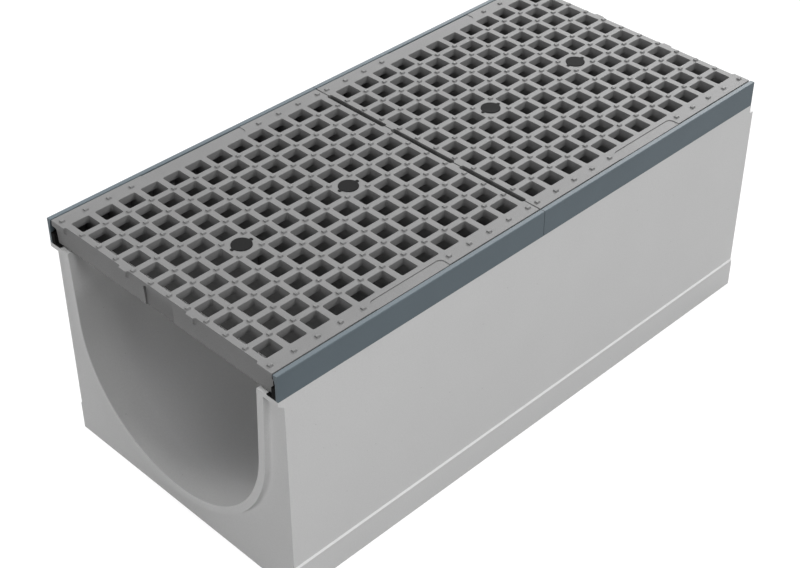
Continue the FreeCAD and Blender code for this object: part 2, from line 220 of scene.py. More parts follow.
class SurfaceGraph(NodeGraph):
    """Wires the shader nodes of one material on Object coordinates."""

    def __init__(self, name: str) -> None:
        """Starts a material with a Principled shader.

        Args:
            name: the material's name.
        """
        self.material = bpy.data.materials.new(name)
        self.material.use_nodes = True
        super().__init__(self.material.node_tree, "OutputMaterial")
        self.shader = self.add("BsdfPrincipled")
        self.feed(self.output, Surface=self.shader.outputs["BSDF"])
        self.place = self.add("TexCoord").outputs["Object"]
        self.normal: Socket | None = None

    def along(self, axis: str) -> Socket:
        """One coordinate.

        Args:
            axis: X, Y or Z.

        Returns:
            The coordinate, in metres.
        """
        node = self.add("SeparateXYZ")
        self.feed(node, self.place)
        return node.outputs[axis]

    def away(self, axis: str) -> Socket:
        """Distance from the middle along an axis, in metres."""
        return self.calculate("ABSOLUTE", self.along(axis))

    def from_run(self, height: float) -> Socket:
        """Distance from a level line along the run, over the module's middle.

        Args:
            height: the line's height.

        Returns:
            The distance, in metres.
        """
        section = self.add("VectorMath", "MULTIPLY")
        self.feed(section, self.place, ACROSS_RUN)
        node = self.add("VectorMath", "DISTANCE")
        self.feed(node, section.outputs["Vector"], (0.0, 0.0, height))
        return node.outputs["Value"]

    def noise(self, scale: float, detail: float) -> Socket:
        """Fractal noise about 0.5.

        Args:
            scale: cells per metre.
            detail: octaves.

        Returns:
            The noise's factor.
        """
        node = self.add("TexNoise")
        self.feed(node, Vector=self.place, Scale=scale, Detail=detail, Roughness=NOISE_ROUGHNESS)
        return node.outputs["Fac"]

    def pits(self, scale: float) -> Socket:
        """Distance to scattered points, for small pores.

        Args:
            scale: points per metre.

        Returns:
            The distance, in cells.
        """
        node = self.add("TexVoronoi")
        self.feed(node, Vector=self.place, Scale=scale)
        return node.outputs["Distance"]

    def within(self, value: Socket, low: float, high: float, fade: float) -> Socket:
        """Mask of the values between two limits.

        Args:
            value: what is tested.
            low: lower limit.
            high: upper limit.
            fade: how far outside a limit the mask has faded out.

        Returns:
            1 inside, 0 outside.
        """
        above = self.remap(value, (low - fade, low), RISE)
        below = self.remap(value, (high, high + fade), FALL)
        return self.product(above, below)

    def toned(self, mask: Socket, tone: float) -> Socket:
        """A tone where a mask is 1, and 1 where it is 0."""
        return self.remap(mask, RISE, (1.0, tone))

    def shade(self, colour: Colour, value: Socket) -> Socket:
        """A colour made lighter or darker by a value about 1.

        Args:
            colour: the plain colour.
            value: what it is multiplied by.

        Returns:
            The shaded colour.
        """
        node = self.add("VectorMath", "SCALE")
        self.feed(node, Vector=colour, Scale=value)
        return node.outputs["Vector"]

    def bump(self, height: Socket, depth: float, strength: float) -> None:
        """Adds relief to the shader's normal, on top of what it has.

        Args:
            height: relief from 0 to 1.
            depth: height of 1, in metres.
            strength: share of it that shows.
        """
        node = self.add("Bump")
        self.feed(node, Height=height, Distance=depth, Strength=strength)
        if self.normal is not None:
            self.feed(node, Normal=self.normal)
        self.normal = node.outputs["Normal"]
        self.feed(self.shader, Normal=self.normal)


@dataclass(frozen=True)
class Layer:
    """One noise of a finish, in cells per metre and octaves, and what it does.

    The noise's band is stretched over a range of tones and of roughness. A relief is a depth in metres
    and the share of it that shows.
    """

    scale: float
    detail: float
    band: Pair = MIDDLE_BAND
    tone: Pair | None = None
    rough: Pair | None = None
    relief: Pair | None = None


@dataclass(frozen=True)
class Finish:
    """A coat or a bare material: a colour, and layers of noise on it."""

    name: str
    colour: Colour
    layers: tuple[Layer, ...]
    specular: float = 0.5
    metallic: float = 0.0

    def marks(self, graph: SurfaceGraph) -> list[Socket]:
        """Tones of marks that only this finish has: none on a plain one."""
        return []

    def build(self) -> bpy.types.Material:
        """Makes the material: its colour times every tone, with the roughness and relief of its layers.

        Returns:
            The material.
        """
        graph = SurfaceGraph(self.name)
        tones = []
        for layer in self.layers:
            noise = graph.noise(layer.scale, layer.detail)
            if layer.tone is not None:
                tones.append(graph.remap(noise, layer.band, layer.tone))
            if layer.rough is not None:
                graph.feed(graph.shader, Roughness=graph.remap(noise, layer.band, layer.rough))
            if layer.relief is not None:
                graph.bump(noise, *layer.relief)
        colour = graph.shade(self.colour, graph.product(*tones, *self.marks(graph)))
        graph.feed(graph.shader, Base_Color=colour, Specular_IOR_Level=self.specular, Metallic=self.metallic)
        return graph.material


@dataclass(frozen=True)
class ConcreteFinish(Finish):
    """Formed concrete: pale grey with faint clouds, fine sand grain and scattered small pores."""

    name: str = "formed_concrete"
    colour: Colour = (0.56, 0.56, 0.56)
    layers: tuple[Layer, ...] = (
        Layer(9.0, 5.0, tone=(0.99, 1.01), rough=(0.92, 0.82)),
        Layer(420.0, 3.0, WIDE_BAND, tone=(0.965, 1.03), relief=(0.0004, 0.35)),
    )
    specular: float = 0.12
    pore_scale: float = 46.0
    pore_size: Pair = (0.02, 0.045)
    pore_tone: Pair = (0.72, 1.0)
    pore_relief: Pair = (0.0008, 0.6)
    # Heights, reach, fade and tone of a painted highlight on the plinth's sloped ledges
    ledge_bottom: float = 0.0495
    ledge_top: float = 0.0521
    ledge_inner: float = 0.2408
    ledge_fade: float = 0.0002
    ledge_highlight_tone: float = 1.3
    # Axis, reach, runs and tone of the painted shade on the bore's bottom towards both mouths
    bore_axis_height: float = 0.245
    bore_reach: Pair = (0.198, 0.204)
    mouth_run: Pair = (0.445, 0.497)
    rim_run: Pair = (0.4985, 0.4995)
    mouth_shade_tone: float = 0.80

    def pores(self, graph: SurfaceGraph) -> Socket:
        """Small pores, dark and sunk into the surface.

        Args:
            graph: the material's nodes.

        Returns:
            A tone from the first of pore_tone to 1.
        """
        pores = graph.remap(graph.pits(self.pore_scale), self.pore_size, RISE)
        graph.bump(pores, *self.pore_relief)
        return graph.remap(pores, RISE, self.pore_tone)

    def painted_ledge_highlight(self, graph: SurfaceGraph) -> Socket:
        """Painted highlight on the plinth's sloped ledges, told by height and by distance from the middle.

        Args:
            graph: the material's nodes.

        Returns:
            A tone from 1 to ledge_highlight_tone.
        """
        # painted highlight: lighter on the ledges, outside the trough's middle
        level = graph.within(graph.along("Z"), self.ledge_bottom, self.ledge_top, self.ledge_fade)
        outside = graph.remap(graph.away("X"), (self.ledge_inner - self.ledge_fade, self.ledge_inner), RISE)
        return graph.toned(graph.product(level, outside), self.ledge_highlight_tone)

    def painted_mouth_shade(self, graph: SurfaceGraph) -> Socket:
        """Painted shade on the bore's round bottom, a little darker towards both mouths but not on their
        rims.

        Args:
            graph: the material's nodes.

        Returns:
            A tone from mouth_shade_tone to 1.
        """
        # painted shade: darker on the bore's bottom near both mouths
        inside = graph.remap(graph.from_run(self.bore_axis_height), self.bore_reach, FALL)
        mouth = graph.remap(graph.away("Y"), self.mouth_run, RISE)
        off_rim = graph.remap(graph.away("Y"), self.rim_run, FALL)
        return graph.toned(graph.product(inside, mouth, off_rim), self.mouth_shade_tone)

    def marks(self, graph: SurfaceGraph) -> list[Socket]:
        """Tones of the pores, the painted highlight on the ledges and the painted shade towards the mouths.
        """
        return [self.pores(graph), self.painted_ledge_highlight(graph), self.painted_mouth_shade(graph)]


@dataclass(frozen=True)
class CastFinish(Finish):
    """Sand casting under a matt grey coat: fine grain and slight unevenness of tone.

    Painted shade makes it darker deep between the ribs, most of all near the front end.
    """

    name: str = "coated_casting"
    colour: Colour = (0.164, 0.164, 0.164)
    layers: tuple[Layer, ...] = (
        Layer(14.0, 4.0, tone=(0.96, 1.04)),
        Layer(650.0, 4.0, WIDE_BAND, tone=(0.93, 1.07), rough=(0.53, 0.43), relief=(0.0005, 0.4)),
        Layer(112.0, 3.0, relief=(0.0006, 0.12)),
    )
    specular: float = 0.125
    # Depth and tone of the painted shade deep between the ribs, and depth, run and tone of the stronger
    # painted shade near the front end
    painted_shade_depth: Pair = (0.372, 0.388)
    painted_shade_tone: float = 0.45
    front_shade_depth: Pair = (0.380, 0.394)
    front_shade_run: Pair = (-0.455, -0.345)
    front_shade_tone: float = 0.35
    inner_end: float = 0.0045
    outer_end: float = 0.4955
    end_skin: float = 0.003

    def marks(self, graph: SurfaceGraph) -> list[Socket]:
        """Painted shade: tones that fall with depth between the ribs, and stay plain on the skin of the end
        faces.

        Args:
            graph: the material's nodes.

        Returns:
            A painted shade tone for the whole run, and one for its front end.
        """
        height = graph.along("Z")
        low = self.inner_end + 2 * self.end_skin
        high = self.outer_end - 2 * self.end_skin
        inside = graph.within(graph.away("Y"), low, high, self.end_skin)
        # painted shade: darker with depth between the ribs, and more so near the front end
        deep = graph.product(graph.remap(height, self.painted_shade_depth, FALL), inside)
        front_shade_mask = graph.remap(graph.along("Y"), self.front_shade_run, FALL)
        front = graph.product(graph.remap(height, self.front_shade_depth, FALL), front_shade_mask, inside)
        return [graph.toned(deep, self.painted_shade_tone), graph.toned(front, self.front_shade_tone)]


@dataclass(frozen=True)
class RailFinish(Finish):
    """Blue-grey coat on metal: satin, with a faint skin texture."""

    name: str = "coated_rail"
    colour: Colour = (0.0915, 0.1155, 0.1315)
    layers: tuple[Layer, ...] = (
        Layer(10.0, 4.0, tone=(0.96, 1.04)),
        Layer(520.0, 2.0, rough=(0.42, 0.54), relief=(0.0003, 0.25)),
    )
    specular: float = 0.16


@dataclass(frozen=True)
class RubberFinish(Finish):
    """Black moulded rubber with a fine spark-eroded grain."""

    name: str = "black_rubber"
    colour: Colour = (0.006, 0.006, 0.006)
    layers: tuple[Layer, ...] = (
        Layer(900.0, 2.0, tone=(0.85, 1.15), rough=(0.8, 0.92), relief=(0.0002, 0.35)),
    )
    specular: float = 0.06


@dataclass(frozen=True)
class PlasticFinish(Finish):
    """Black moulded plastic with the same grain as the rubber, and a little smoother."""

    name: str = "black_plastic"
    colour: Colour = (0.007, 0.007, 0.0072)
    layers: tuple[Layer, ...] = (
        Layer(900.0, 2.0, tone=(0.85, 1.15), rough=(0.6, 0.75), relief=(0.0002, 0.35)),
    )
    specular: float = 0.05


@dataclass(frozen=True)
class PlatedFinish(Finish):
    """Dull zinc plate on steel: pale spangle and a drawn grain."""

    name: str = "zinc_plate"
    colour: Colour = (0.42, 0.43, 0.44)
    layers: tuple[Layer, ...] = (
        Layer(130.0, 3.0, tone=(0.85, 1.12), rough=(0.5, 0.36)),
        Layer(700.0, 2.0, relief=(0.0002, 0.2)),
    )
    metallic: float = 0.85


@dataclass
class Finishes:
    """Every material of the module, made once."""

    concrete: bpy.types.Material
    casting: bpy.types.Material
    rail: bpy.types.Material
    rubber: bpy.types.Material
    plastic: bpy.types.Material
    zinc: bpy.types.Material

    @classmethod
    def build(cls) -> "Finishes":
        """Makes the materials.

        Returns:
            All of them.
        """
        return cls(
            concrete=ConcreteFinish().build(),
            casting=CastFinish().build(),
            rail=RailFinish().build(),
            rubber=RubberFinish().build(),
            plastic=PlasticFinish().build(),
            zinc=PlatedFinish().build(),
        )


@dataclass
class Shell:
    """Closed surfaces held as whole arrays until they become a mesh."""

    points: np.ndarray
    faces: list[np.ndarray]

    def mesh(self, name: str) -> bpy.types.Mesh:
        """Makes a mesh whose closed surfaces all face outwards.

        Args:
            name: the mesh's name.

        Returns:
            The mesh.
        """
        mesh = bpy.data.meshes.new(name)
        mesh.from_pydata(self.points.tolist(), [], sum((array.tolist() for array in self.faces), []))
        work = bmesh.new()
        work.from_mesh(mesh)
        bmesh.ops.recalc_face_normals(work, faces=work.faces)
        work.to_mesh(mesh)
        work.free()
        return mesh


def rounded_rectangle(half_x: Sizes, half_y: Sizes, radius: Sizes, arc_points: int) -> np.ndarray:
    """Points of rounded rectangles, anticlockwise from the corner at +X, +Y.

    Each corner is a quarter circle about (half - radius): centre + radius * (cos a, sin a).

    Args:
        half_x: half widths, one for each rectangle or one for all.
        half_y: half lengths, in the same form.
        radius: corner radii, in the same form.
        arc_points: points on each corner.

    Returns:
        Array of (rectangles, 4 * arc_points, 2).
    """
    half_x, half_y, radius = (np.atleast_1d(size)[:, None] for size in (half_x, half_y, radius))
    quarter = np.linspace(0.0, math.pi / 2, arc_points)
    angle = (quarter[None, :] + np.arange(4)[:, None] * math.pi / 2).ravel()
    sign_x = np.repeat([1.0, -1.0, -1.0, 1.0], arc_points)
    sign_y = np.repeat([1.0, 1.0, -1.0, -1.0], arc_points)
    x = sign_x * (half_x - radius) + radius * np.cos(angle)
    y = sign_y * (half_y - radius) + radius * np.sin(angle)
    return np.stack(np.broadcast_arrays(x, y), axis=-1)


def at_heights(plans: np.ndarray, heights: np.ndarray) -> np.ndarray:
    """Sets flat outlines at their heights.

    Args:
        plans: array of (..., rings, points, 2).
        heights: array of (rings,).

    Returns:
        Array of (..., rings, points, 3).
    """
    level = np.broadcast_to(heights[:, None, None], plans.shape[:-1] + (1,))
    return np.concatenate([plans, level], axis=-1)


def polar_rings(radius: np.ndarray, heights: np.ndarray, centres: np.ndarray, points: int) -> np.ndarray:
    """Rings about upright axes: a point is centre + radius * (cos a, sin a), at its ring's height.

    Args:
        radius: array of (rings, points), or of (rings, 1) for round ones.
        heights: array of (rings,).
        centres: array of (bodies, 2).
        points: points on each ring.

    Returns:
        Array of (bodies, rings, points, 3).
    """
    angle = np.arange(points) * 2 * math.pi / points
    plan = radius[..., None] * np.stack([np.cos(angle), np.sin(angle)], axis=-1)
    return at_heights(centres[:, None, None] + plan, heights)


def tube_quads(rings: int, points: int) -> np.ndarray:
    """Quads of a tube: quad (r, k) joins ring r to ring r + 1 and point k to the next one round.

    Args:
        rings: number of rings.
        points: points on each ring.

    Returns:
        Array of (quads, 4).
    """
    ring = np.arange(rings - 1)[:, None] * points
    here = np.arange(points)[None, :]
    after = (here + 1) % points
    quads = np.stack([ring + here, ring + after, ring + points + after, ring + points + here], axis=-1)
    return quads.reshape(-1, 4)


def lofts(rings: np.ndarray) -> Shell:
    """Closed bars, each a stack of rings with a flat face at both ends.

    Args:
        rings: array of (bars, rings, points, 3).

    Returns:
        The bars as one shell.
    """
    bars, count, points, _ = rings.shape
    first = np.arange(bars)[:, None] * count * points
    quads = (tube_quads(count, points)[None] + first[:, None]).reshape(-1, 4)
    start = np.arange(points)[None, :] + first
    end = start + (count - 1) * points
    return Shell(rings.reshape(-1, 3), [quads, start[:, ::-1], end])


def ring_tubes(rings: np.ndarray) -> Shell:
    """Closed ring bodies such as washers: each stack of rings runs round a section to its first ring.

    Args:
        rings: array of (bodies, rings, points, 3).

    Returns:
        The bodies as one shell.
    """
    bodies, count, points, _ = rings.shape
    closed = tube_quads(count + 1, points) % (count * points)
    first = np.arange(bodies)[:, None, None] * count * points
    return Shell(rings.reshape(-1, 3), [(closed[None] + first).reshape(-1, 4)])


def extrude(outlines: np.ndarray, axis: int, stations: np.ndarray) -> Shell:
    """Straight bars: outlines carried along an axis from one station to the other.

    Args:
        outlines: array of (bars, points, 2): the other two coordinates, in X, Y, Z order.
        axis: 0, 1 or 2.
        stations: both ends along the axis, array of (2,), or of (bars, 2) where bars differ.

    Returns:
        The bars as one shell.
    """
    rings = np.zeros((len(outlines), 2, outlines.shape[1], 3))
    others = [k for k in range(3) if k != axis]
    rings[..., others] = outlines[:, None]
    rings[..., axis] = stations[..., None]
    return lofts(rings)


def mirrored(outline: np.ndarray) -> np.ndarray:
    """An outline and its mirror image in the first coordinate, array of (2, points, 2)."""
    return np.stack([outline, outline * np.array([-1.0, 1.0])])


def hexagon_radius(flats: float, points: int) -> np.ndarray:
    """Distance from a hexagon's middle to its sides: half the flats over the cosine of the angle from a flat.

    Args:
        flats: width across the flats.
        points: directions, evenly spread.

    Returns:
        Array of (points,).
    """
    angle = np.arange(points) * 2 * math.pi / points
    from_flat = (angle + math.pi / 6) % (math.pi / 3) - math.pi / 6
    return flats / 2 / np.cos(from_flat)


def new_object(name: str, data: bpy.types.ID) -> bpy.types.Object:
    """Puts a mesh, lamp or camera into the scene at the origin.

    Args:
        name: the object's name.
        data: what it shows.

    Returns:
        The object.
    """
    thing = bpy.data.objects.new(name, data)
    bpy.context.scene.collection.objects.link(thing)
    return thing


def combine(piece: bpy.types.Object, shell: Shell, how: Join) -> None:
    """Adds closed shells to a piece, or takes them away.

    Args:
        piece: the piece that changes.
        shell: closed surfaces that don't cross each other.
        how: which of the two.
    """
    tool = new_object("tool", shell.mesh("tool"))
    step = piece.modifiers.new("join", "BOOLEAN")
    step.operation = how.value
    step.solver = "MANIFOLD"
    step.object = tool
    graph = bpy.context.evaluated_depsgraph_get()
    result = bpy.data.meshes.new_from_object(piece.evaluated_get(graph))
    piece.modifiers.remove(step)
    old = piece.data
    piece.data = result
    bpy.data.meshes.remove(old)
    bpy.data.meshes.remove(tool.data)


def smooth_by_angle(piece: bpy.types.Object, degrees: float) -> None:
    """Shades a piece smooth with sharp edges past an angle, and lets its large faces stay flat.

    Args:
        piece: the piece.
        degrees: the angle between two faces.
    """
    piece.data.shade_smooth()
    piece.data.set_sharp_from_angle(angle=math.radians(degrees))
    piece.modifiers.new("large_faces_stay_flat", "WEIGHTED_NORMAL").keep_sharp = True


def dress(piece: bpy.types.Object, slot: Slot, material: bpy.types.Material, *nodes: str) -> None:
    """Gives a piece its material and ties it to the frame.

    Args:
        piece: the finished piece.
        slot: the record's material slot; not used.
        material: what it is made of.
        nodes: the CAD nodes that it stands for.
    """
    piece.data.materials.clear()
    piece.data.materials.append(material)
    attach(piece, BODY)
    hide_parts(*nodes)
    LOG.info("%s: %d faces", piece.name, len(piece.data.polygons))


def inner_corners(work: bmesh.types.BMesh, plane_y: float) -> list[bmesh.types.BMEdge]:
    """Sharp inner corners on an upright plane across the run.

    Args:
        work: the mesh.
        plane_y: the plane's Y.

    Returns:
        Their edges.
    """
    folded = [edge for edge in work.edges if edge.is_manifold and edge.calc_face_angle_signed() < ROOT_ANGLE]
    return [edge for edge in folded if max(abs(end.co.y - plane_y) for end in edge.verts) < ROOT_REACH]


def arrised_copy(node: str, name: str, width: float, root: Pair | None = None) -> bpy.types.Object:
    """Copy of a CAD node with whole flat faces and its arrises rounded, as moulds and tools leave them.

    Args:
        node: the CAD node.
        name: the copy's name.
        width: how far a rounding reaches from its edge.
        root: Y of an upright face whose inner corners get a wider fillet, and that fillet's reach, or None.

    Returns:
        The new piece.
    """
    work = bmesh.new()
    work.from_mesh(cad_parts[node].data)
    bmesh.ops.remove_doubles(work, verts=work.verts, dist=MERGE_DISTANCE)
    flat = math.radians(FLAT_DEGREES)
    bmesh.ops.dissolve_limit(work, angle_limit=flat, verts=work.verts, edges=work.edges)
    if root is not None:
        plane_y, fillet = root
        bmesh.ops.bevel(work, geom=inner_corners(work, plane_y), offset=fillet, segments=ROOT_SEGMENTS,
                        profile=ROUND_PROFILE, affect="EDGES", clamp_overlap=False)
    limit = math.radians(ARRIS_DEGREES)
    sharp = [edge for edge in work.edges if edge.is_manifold and edge.calc_face_angle() > limit]
    bmesh.ops.bevel(work, geom=sharp, offset=width, segments=ARRIS_SEGMENTS,
                    profile=ROUND_PROFILE, affect="EDGES", clamp_overlap=True)
    mesh = bpy.data.meshes.new(name)
    work.to_mesh(mesh)
    work.free()
    piece = new_object(name, mesh)
    smooth_by_angle(piece, ARRIS_DEGREES)
    return piece


@dataclass
class Trough:
    """Concrete trough, with the soft arrises of a mould and a fillet at the root of its tongue."""

    node: str = "channel_body"
    arris: float = 0.0009
    end_face_y: float = -0.490
    root_fillet: float = 0.0045

    def build(self, finishes: Finishes) -> None:
        """Makes and dresses the trough."""
        piece = arrised_copy(self.node, "trough_concrete", self.arris, (self.end_face_y, self.root_fillet))
        dress(piece, Slot.CONCRETE, finishes.concrete, self.node)


@dataclass
class EdgeTrim:
    """Edge rail and liner strip of one side of one half."""

    side: Side
    half: Half
    rail_arris: float = 0.0005
    liner_arris: float = 0.0008

    def build(self, finishes: Finishes) -> None:
        """Makes and dresses both pieces.

        Args:
            finishes: the module's materials.
        """
        place = f"{self.side.name}_{self.half.name}".lower()
        rail = arrised_copy(f"edge_rail_{place}", f"rail_{place}", self.rail_arris)
        dress(rail, Slot.RAIL, finishes.rail, f"edge_rail_{place}")
        liner = arrised_copy(f"seat_liner_{place}", f"liner_{place}", self.liner_arris)
        dress(liner, Slot.LINER, finishes.rubber, f"seat_liner_{place}")


@dataclass
class Grating:
    """Cast mesh grating: a plate of rounded holes on deep cross ribs, with studs on its top.

    Shapes are worked out about the grating's own middle in Y, at their true heights. Shells that are
    joined reach into each other, and multiples of sink keep their faces from lying in one plane.
    """

    half: Half
    columns: int = 11
    rows: int = 12
    hole_width: float = 0.0275
    hole_length: float = 0.0296
    rib_along: float = 0.01043
    rib_across: float = 0.0104
    rib_foot: float = 0.0074
    rib_head_share: float = 1 / 3
    hole_corner: float = 0.0026
    plate_depth: float = 0.013
    top_round: float = 0.0007
    end_round_share: float = 0.5
    rim_round_share: float = 0.4
    under_round: float = 0.0018
    round_points: int = 4
    rim_corner: float = 0.003
    arc_points: int = 6
    coarse_points: int = 3
    lock_row: int = 3
    end_recess: float = 0.004
    beam_x: float = 0.227
    side_beam: float = 0.010
    beam_lift: float = 0.0006
    beam_head_share: float = 1 / 2
    foot_round: float = 0.0008
    mid_pad_x: float = 0.0705
    mid_pad_width: float = 0.015
    corner_pad_width: float = 0.0285
    pad_slope: float = 0.004
    pad_fillet: float = 0.003
    pad_root: float = 0.0045
    boss_head_share: float = 1 / 3
    stud_base: Pair = (0.0082, 0.0070)
    stud_top: Pair = (0.0036, 0.0062)
    stud_height: float = 0.0024
    stud_levels: Triple = (-0.2, 0.85, 1.0)
    stud_taper: Triple = (0.0, 0.75, 1.0)
    stud_ease_share: float = 0.15
    stud_corner_share: float = 0.4
    margin_stud_x: float = 0.217
    panel_depth: float = 0.001
    panel_width: float = 0.018
    panel_corner: float = 0.008
    panel_lengths: Pair = (0.187, 0.136)
    counterbore_diameter: float = 0.027
    counterbore_depth: float = 0.020
    bolt_way_diameter: float = 0.0135
    bore_points: int = 48
    notch_width: float = 0.060
    notch_depth: float = 0.0036
    notch_top: float = 0.006
    notch_corner: float = 0.0032
    cut_past: float = 0.005
    smooth_degrees: float = 32.0
    sink: float = 0.00005

    def __post_init__(self) -> None:
        """Reads the node's box and works out the hole grid."""
        self.node = f"grating_{self.half.name}".lower()
        low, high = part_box(self.node)
        self.top = high.z
        self.bottom = low.z
        self.middle_y = (low.y + high.y) / 2
        self.half_x = high.x
        self.half_y = (high.y - low.y) / 2
        self.end_y = self.half_y - self.end_recess
        self.pitch = np.array([self.hole_width + self.rib_along, self.hole_length + self.rib_across])
        self.corner_x = (np.arange(self.columns + 1) - self.columns / 2) * self.pitch[0]
        self.corner_y = (np.arange(self.rows + 1) - self.rows / 2) * self.pitch[1]
        self.plate_z = self.top - self.plate_depth
        middle = self.columns // 2
        self.lock_cells = np.array([[middle, self.lock_row], [middle, self.rows - 1 - self.lock_row]])
        self.draft = (self.rib_across - self.rib_foot) / 2

    def middles(self, cells: np.ndarray) -> np.ndarray:
        """Middles of cells given by column and row, array of (cells, 2)."""
        corners = np.stack([self.corner_x[cells[:, 0]], self.corner_y[cells[:, 1]]], axis=-1)
        return corners + self.pitch / 2

    def open_cells(self) -> np.ndarray:
        """Finds the cells with a hole.

        Returns:
            Column and row of each, array of (holes, 2).
        """
        column, row = np.meshgrid(np.arange(self.columns), np.arange(self.rows), indexing="ij")
        cells = np.stack([column.ravel(), row.ravel()], axis=-1)
        locked = (cells[:, None] == self.lock_cells[None]).all(axis=-1).any(axis=-1)
        return cells[~locked]

    def corner_numbers(self, cells: np.ndarray) -> np.ndarray:
        """Numbers of the four corners of cells, as column * (rows + 1) + row, anticlockwise from +X, +Y."""
        turn = np.array([[1, 1], [0, 1], [0, 0], [1, 0]])
        return (cells[:, None] + turn) @ np.array([self.rows + 1, 1])

    def round_levels(self) -> tuple[np.ndarray, np.ndarray]:
        """Heights of a hole's rings and how far each is opened out.

        The top edge is a quarter round: opened by r * (1 - sin a) at depth r * (1 - cos a). The foot is
        the same turned over.

        Returns:
            Heights and openings, from the top down.
        """
        angle = np.linspace(0.0, math.pi / 2, self.round_points)
        top_z = self.top - self.top_round * (1 - np.cos(angle))
        top_open = self.top_round * (1 - np.sin(angle))
        foot_z = self.plate_z + self.under_round * (1 - np.cos(angle[::-1]))
        foot_open = self.under_round * (1 - np.sin(angle[::-1]))
        return np.concatenate([top_z, foot_z]), np.concatenate([top_open, foot_open])

    def rim_loop(self, opening: np.ndarray) -> np.ndarray:
        """Outer rim of the plate, drawn in by each level's opening.

        It has a point level with each row or column of cell corners, and a quarter circle at each corner.

        Args:
            opening: array of (levels,).

        Returns:
            Array of (levels, points, 2), anticlockwise from the lower end of the +X side.
        """
        x = self.half_x - opening
        y = self.end_y - opening
        arcs = rounded_rectangle(x, y, self.rim_corner, self.arc_points)
        arcs = arcs.reshape(len(opening), 4, self.arc_points, 2)
        level = np.ones((len(opening), 1))
        right = np.stack([x[:, None] * np.ones(self.rows + 1), level * self.corner_y], axis=-1)
        far = np.stack([level * self.corner_x[::-1], y[:, None] * np.ones(self.columns + 1)], axis=-1)
        sides = (right, arcs[:, 0], far, arcs[:, 1], -right, arcs[:, 2], -far, arcs[:, 3])
        return np.concatenate(sides, axis=1)

    def rim_partners(self) -> np.ndarray:
        """Tells which cell corner each point of the rim is joined to.

        Returns:
            Numbers of the corners, as column * (rows + 1) + row.
        """
        column = np.arange(self.columns + 1)
        row = np.arange(self.rows + 1)
        stride = self.rows + 1
        right = self.columns * stride + row
        far = column[::-1] * stride + self.rows
        left = row[::-1]
        near = column * stride
        turns = [np.full(self.arc_points, side[-1]) for side in (right, far, left, near)]
        return np.concatenate([right, turns[0], far, turns[1], left, turns[2], near, turns[3]])

    @staticmethod
    def fill_between(loops: np.ndarray, partners: np.ndarray) -> tuple[np.ndarray, np.ndarray]:
        """Flat faces between closed loops and the points that their points are joined to.

        Two neighbours with the same partner give a triangle, and others a quad.

        Args:
            loops: point indices, array of (loops, points).
            partners: partner indices, in the same form.

        Returns:
            Quads and triangles.
        """
        after = np.roll(loops, -1, axis=1)
        partner_after = np.roll(partners, -1, axis=1)
        same = partners == partner_after
        quads = np.stack([loops, after, partner_after, partners], axis=-1)[~same]
        triangles = np.stack([loops, after, partners], axis=-1)[same]
        return quads, triangles

    def plate(self) -> Shell:
        """Top plate: a rim, a tube for each hole, and flat faces that fill cells and margins above and below.

        Returns:
            The plate as a closed shell.
        """
        heights, opening = self.round_levels()
        levels = len(heights)
        upper = np.arange(levels) < levels // 2
        cells = self.open_cells()
        half_x = self.hole_width / 2 + opening
        half_y = self.hole_length / 2 + opening * np.where(upper, self.end_round_share, 0.0)
        outline = rounded_rectangle(half_x, half_y, self.hole_corner, self.arc_points)
        holes = at_heights(outline + self.middles(cells)[:, None, None], heights)
        rim = at_heights(self.rim_loop(opening * np.where(upper, self.rim_round_share, 0.0)), heights)
        grid = np.meshgrid(self.corner_x, self.corner_y, indexing="ij")
        corners = np.stack(grid, axis=-1).reshape(-1, 2)
        fills = at_heights(np.stack([corners, corners]), np.array([self.top, self.plate_z]))
        count = outline.shape[1]
        around = rim.shape[1]
        hole_first = np.arange(len(cells))[:, None] * levels * count
        rim_first = len(cells) * levels * count
        fill_first = rim_first + levels * around
        faces = [
            (tube_quads(levels, count)[None] + hole_first[:, None]).reshape(-1, 4),
            tube_quads(levels, around) + rim_first,
        ]
        partners = np.repeat(self.corner_numbers(cells), self.arc_points, axis=1)
        for level, first in ((0, fill_first), (levels - 1, fill_first + len(corners))):
            loops = hole_first + level * count + np.arange(count)
            faces += self.fill_between(loops, partners + first)
            rim_loop = rim_first + level * around + np.arange(around)
            faces += self.fill_between(rim_loop[None], self.rim_partners()[None] + first)
            faces.append(self.corner_numbers(self.lock_cells) + first)
        return Shell(np.vstack([part.reshape(-1, 3) for part in (holes, rim, fills)]), faces)

    def cross_ribs(self) -> Shell:
        """Deep tapered ribs under the cell rows' edges, the outer two drawn in to the plate's ends.

        Returns:
            The ribs.
        """
        head_z = self.top - self.plate_depth * self.rib_head_share
        reach = self.beam_x - self.side_beam
        head = self.rib_across / 2 - self.sink
        foot = self.rib_foot / 2
        easing = self.foot_round
        eased_z = self.bottom + easing
        half = np.array([-head, head, foot, foot - easing, easing - foot, -foot])
        outlines = np.zeros((self.rows + 1, len(half), 2))
        outlines[..., 0] = self.corner_y[:, None] + half
        outlines[..., 1] = np.array([head_z, head_z, eased_z, self.bottom, self.bottom, eased_z])
        outer = self.end_y - self.sink
        far = np.array([outer, outer - self.draft, outer - self.draft - easing])
        outlines[-1, [1, 2, 3], 0] = far
        outlines[0, [0, 5, 4], 0] = -far
        return extrude(outlines, 0, np.array([-reach, reach]))

